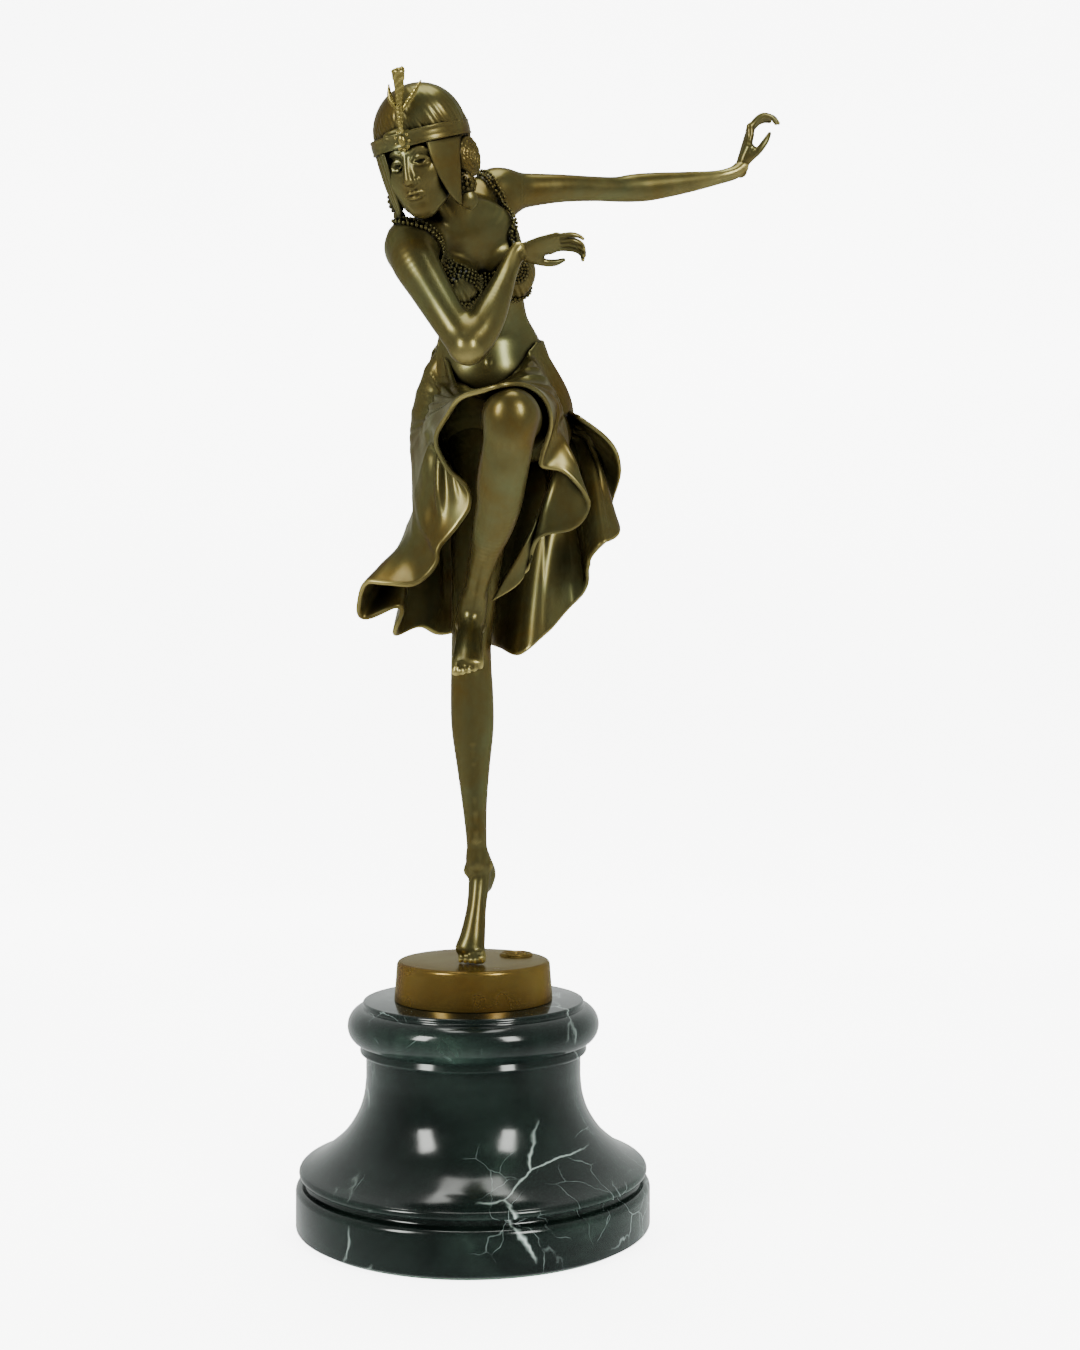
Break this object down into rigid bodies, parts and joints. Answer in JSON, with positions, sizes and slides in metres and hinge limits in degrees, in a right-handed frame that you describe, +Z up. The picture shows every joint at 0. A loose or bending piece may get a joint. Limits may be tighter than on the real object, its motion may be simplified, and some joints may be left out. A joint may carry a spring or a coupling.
{
  "type": "bronze statuette",
  "caption": "Dancing figure in patinated bronze, balanced on one foot with a wind-blown wrap skirt, on a bronze plinth and a turned dark marble socle.",
  "frame": {"origin": "centre of the felt pad's underside, on the socle's axis", "axes": "+Z up, -Y towards the figure's front, +X towards the outstretched left arm"},
  "size_m": [0.1983, 0.155, 0.4546],
  "materials": {
    "bronze": "brown-olive patina, waxed, dark in the hollows and rubbed golden on the edges",
    "gilt_bronze": "bronze rubbed back to a golden tone",
    "plinth_bronze": "red-brown mottled patina, waxed",
    "marble": "polished black-green marble with fine white veins",
    "steel": "zinc-plated",
    "felt": "dark green pressed felt"
  },
  "bodies": {
    "root": {"felt_pad": "felt", "marble_foot": "marble", "marble_bell": "marble", "marble_cap": "marble", "threaded_rod": "steel", "rod_washer": "steel", "rod_nut": "steel", "bronze_plinth": "plinth_bronze", "foundry_seal": "plinth_bronze", "torso": "bronze", "right_arm": "bronze", "left_arm": "bronze", "standing_leg": "bronze", "raised_leg": "bronze", "head": "bronze", "skirt": "bronze", "beaded_top": "bronze", "headband": "bronze", "brooch": "gilt_bronze", "plume": "gilt_bronze", "right_lappet": "bronze", "right_ear_disc": "bronze", "right_tassel": "bronze", "left_lappet": "bronze", "left_ear_disc": "bronze", "left_tassel": "bronze"}
  },
  "joints": []
}
